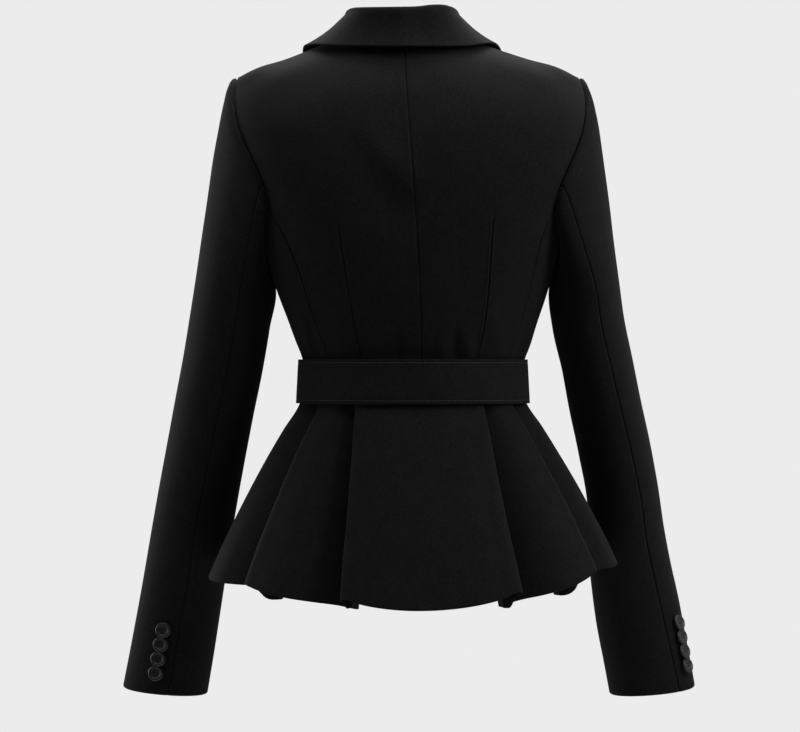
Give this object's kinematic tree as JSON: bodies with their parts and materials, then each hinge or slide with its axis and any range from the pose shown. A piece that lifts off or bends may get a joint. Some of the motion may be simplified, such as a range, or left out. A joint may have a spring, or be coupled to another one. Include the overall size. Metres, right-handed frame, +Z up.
{
  "type": "belted blazer",
  "caption": "Black fitted blazer with a turned-down collar, notched lapels, two-piece sleeves with lapped cuff buttons, a stitched belt and a pleated peplum, filled out as if worn.",
  "frame": {"origin": "middle of the neck opening at the height of the neck points, where shoulders or a hanger hold the blazer up", "axes": "+Z up along the wearer, +X towards the wearer's left, +Y towards the wearer's back, so the front faces -Y"},
  "size_m": [0.6052, 0.309, 0.7128],
  "materials": {
    "jacket_cloth": "matt black suiting, fine weave",
    "belt_cloth": "matt black suiting on a stiff core, stitched along both edges",
    "button": "black horn effect, low gloss"
  },
  "bodies": {
    "root": {"back_left": "jacket_cloth", "back_right": "jacket_cloth", "side_left": "jacket_cloth", "side_right": "jacket_cloth", "front_left": "jacket_cloth", "front_right": "jacket_cloth", "lapel_left": "jacket_cloth", "lapel_right": "jacket_cloth", "collar": "jacket_cloth", "top_sleeve_left": "jacket_cloth", "top_sleeve_right": "jacket_cloth", "under_sleeve_left": "jacket_cloth", "under_sleeve_right": "jacket_cloth", "peplum_back": "jacket_cloth", "peplum_left": "jacket_cloth", "peplum_right": "jacket_cloth", "belt": "belt_cloth", "buckle": "belt_cloth", "button_left_1": "button", "button_left_2": "button", "button_left_3": "button", "button_left_4": "button", "button_right_1": "button", "button_right_2": "button", "button_right_3": "button", "button_right_4": "button"}
  },
  "joints": []
}
